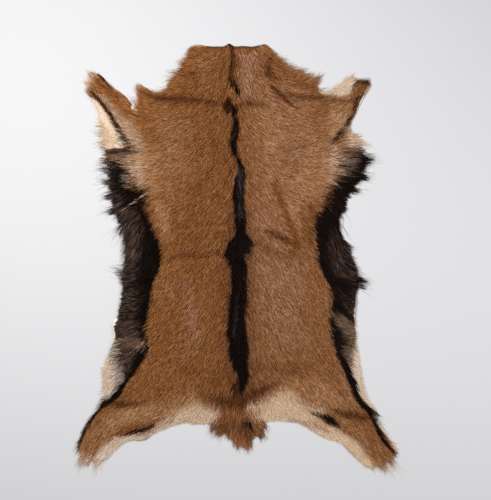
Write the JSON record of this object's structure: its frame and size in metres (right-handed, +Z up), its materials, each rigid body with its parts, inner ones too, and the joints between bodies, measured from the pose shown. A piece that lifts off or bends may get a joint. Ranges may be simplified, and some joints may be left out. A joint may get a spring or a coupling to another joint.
{
  "type": "goatskin",
  "caption": "Tanned goatskin with the hair on, one flat hide with neck, leg tabs and tail, brown with a black dorsal stripe, laid hair side up as a rug or throw",
  "frame": {"origin": "on the floor, under the middle of the hide's bounding box", "axes": "+X to the hide's right as seen in the picture, +Y from tail to neck, +Z up, hair side up"},
  "size_m": [0.7226, 0.958, 0.013],
  "materials": {
    "goat_hair": "matte hair"
  },
  "bodies": {
    "root": {"goatskin": "goat_hair"}
  },
  "joints": []
}
